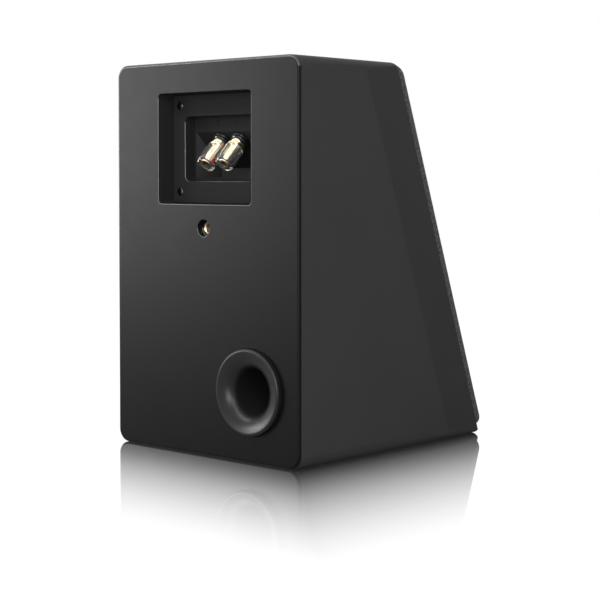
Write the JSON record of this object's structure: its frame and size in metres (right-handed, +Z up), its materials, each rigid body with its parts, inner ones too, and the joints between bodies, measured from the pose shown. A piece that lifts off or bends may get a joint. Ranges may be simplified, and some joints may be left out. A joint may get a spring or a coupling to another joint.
{
  "type": "bookshelf speaker",
  "caption": "Ported two-way bookshelf speaker with a slanted baffle, a pull-off cloth grille and binding posts in a rear recess.",
  "frame": {"origin": "centre of the overall box, on the base", "axes": "+Z up; the flat back faces +Y; the slanted baffle faces -Y and a little upwards; +X is to the right seen from the front"},
  "size_m": [0.19, 0.2258, 0.29],
  "materials": {
    "cabinet_vinyl": "satin black vinyl over fibreboard",
    "raw_board": "bare fibreboard",
    "wadding": "white polyester wadding",
    "rubber": "matt black rubber",
    "terminal_plastic": "satin black moulded plastic",
    "black_screw": "black zinc plate",
    "gold_plate": "polished gold plate",
    "zinc_steel": "bright zinc plate",
    "clear_sleeve": "clear moulded plastic",
    "red_band": "gloss red",
    "black_band": "gloss black",
    "insert_brass": "turned brass",
    "port_plastic": "fine satin black moulded plastic",
    "basket_paint": "black powder coat",
    "spider_cloth": "resin-dipped corrugated cloth",
    "cone_paper": "black moulded cone",
    "copper_wire": "enamelled copper wire",
    "ferrite": "grey-black ferrite",
    "dome_silk": "coated black silk",
    "grille_plastic": "black moulded plastic",
    "grille_cloth": "black knitted grille cloth",
    "circuit_board": "green laminate",
    "film_can": "yellow film wrap",
    "resistor_ceramic": "white ceramic",
    "lead_jacket": "soft insulated twin lead"
  },
  "bodies": {
    "cabinet": {"cabinet_shell": "cabinet_vinyl", "rear_panel": "cabinet_vinyl", "front_baffle": "cabinet_vinyl", "window_brace": "raw_board", "damping_pad_left": "wadding", "damping_pad_right": "wadding", "damping_pad_top": "wadding", "grille_cup_1": "rubber", "grille_cup_2": "rubber", "grille_cup_3": "rubber", "grille_cup_4": "rubber", "terminal_cup": "terminal_plastic", "terminal_gasket": "rubber", "terminal_backing_frame": "raw_board", "terminal_screw_1": "black_screw", "terminal_screw_2": "black_screw", "terminal_screw_3": "black_screw", "terminal_screw_4": "black_screw", "post_collar_plus": "terminal_plastic", "post_stud_plus": "gold_plate", "post_nut_plus": "zinc_steel", "post_collar_minus": "terminal_plastic", "post_stud_minus": "gold_plate", "post_nut_minus": "zinc_steel", "bracket_insert": "insert_brass", "port_rear_flare": "port_plastic", "port_tube": "port_plastic", "woofer_basket": "basket_paint", "woofer_surround": "rubber", "woofer_spider": "spider_cloth", "woofer_trim_ring": "rubber", "woofer_top_plate": "zinc_steel", "woofer_magnet": "ferrite", "woofer_yoke": "zinc_steel", "tweeter_faceplate": "port_plastic", "tweeter_magnet": "ferrite", "tweeter_back_plate": "zinc_steel", "crossover_board": "circuit_board", "crossover_inductor_bass": "copper_wire", "crossover_inductor_treble": "copper_wire", "crossover_capacitor": "film_can", "crossover_resistor": "resistor_ceramic", "lead_input": "lead_jacket", "lead_woofer": "lead_jacket", "lead_tweeter": "lead_jacket"},
    "grille": {"grille_frame": "grille_plastic", "grille_cloth": "grille_cloth"},
    "woofer_diaphragm": {"woofer_cone": "cone_paper", "woofer_dust_cap": "cone_paper", "woofer_voice_coil": "copper_wire"},
    "tweeter_diaphragm": {"tweeter_dome": "dome_silk", "tweeter_voice_coil": "copper_wire"},
    "washer_plus": {"post_washer_plus": "gold_plate"},
    "knob_plus": {"post_core_plus": "gold_plate", "post_sleeve_plus": "clear_sleeve", "post_band_plus": "red_band"},
    "washer_minus": {"post_washer_minus": "gold_plate"},
    "knob_minus": {"post_core_minus": "gold_plate", "post_sleeve_minus": "clear_sleeve", "post_band_minus": "black_band"}
  },
  "joints": [
    {"name": "grille_pull", "type": "slide", "parent": "cabinet", "child": "grille", "axis": [0, -0.9392, 0.3433], "range_m": [0, 0.06]},
    {"name": "woofer_travel", "type": "slide", "parent": "cabinet", "child": "woofer_diaphragm", "axis": [0, -0.9392, 0.3433], "range_m": [-0.005, 0.005], "stiffness_N_per_m": 1200, "deforming": ["woofer_surround", "woofer_spider"]},
    {"name": "tweeter_travel", "type": "slide", "parent": "cabinet", "child": "tweeter_diaphragm", "axis": [0, -0.9392, 0.3433], "range_m": [-0.0004, 0.0004], "stiffness_N_per_m": 100},
    {"name": "washer_plus_travel", "type": "slide", "parent": "cabinet", "child": "washer_plus", "axis": [0, 0.7071, -0.7071], "range_m": [0, 0.005]},
    {"name": "knob_plus_turn", "type": "hinge", "parent": "washer_plus", "child": "knob_plus", "pos_m": [0.0095, 0.07846, 0.23306], "axis": [0, 0.7071, -0.7071], "range_deg": [0, 1800]},
    {"name": "washer_minus_travel", "type": "slide", "parent": "cabinet", "child": "washer_minus", "axis": [0, 0.7071, -0.7071], "range_m": [0, 0.005]},
    {"name": "knob_minus_turn", "type": "hinge", "parent": "washer_minus", "child": "knob_minus", "pos_m": [-0.0095, 0.07846, 0.23306], "axis": [0, 0.7071, -0.7071], "range_deg": [0, 1800]}
  ],
  "couplings": [
    {"joint": "knob_plus_turn", "follows": "washer_plus_travel", "rad_per_m": 6283.2},
    {"joint": "knob_minus_turn", "follows": "washer_minus_travel", "rad_per_m": 6283.2}
  ]
}
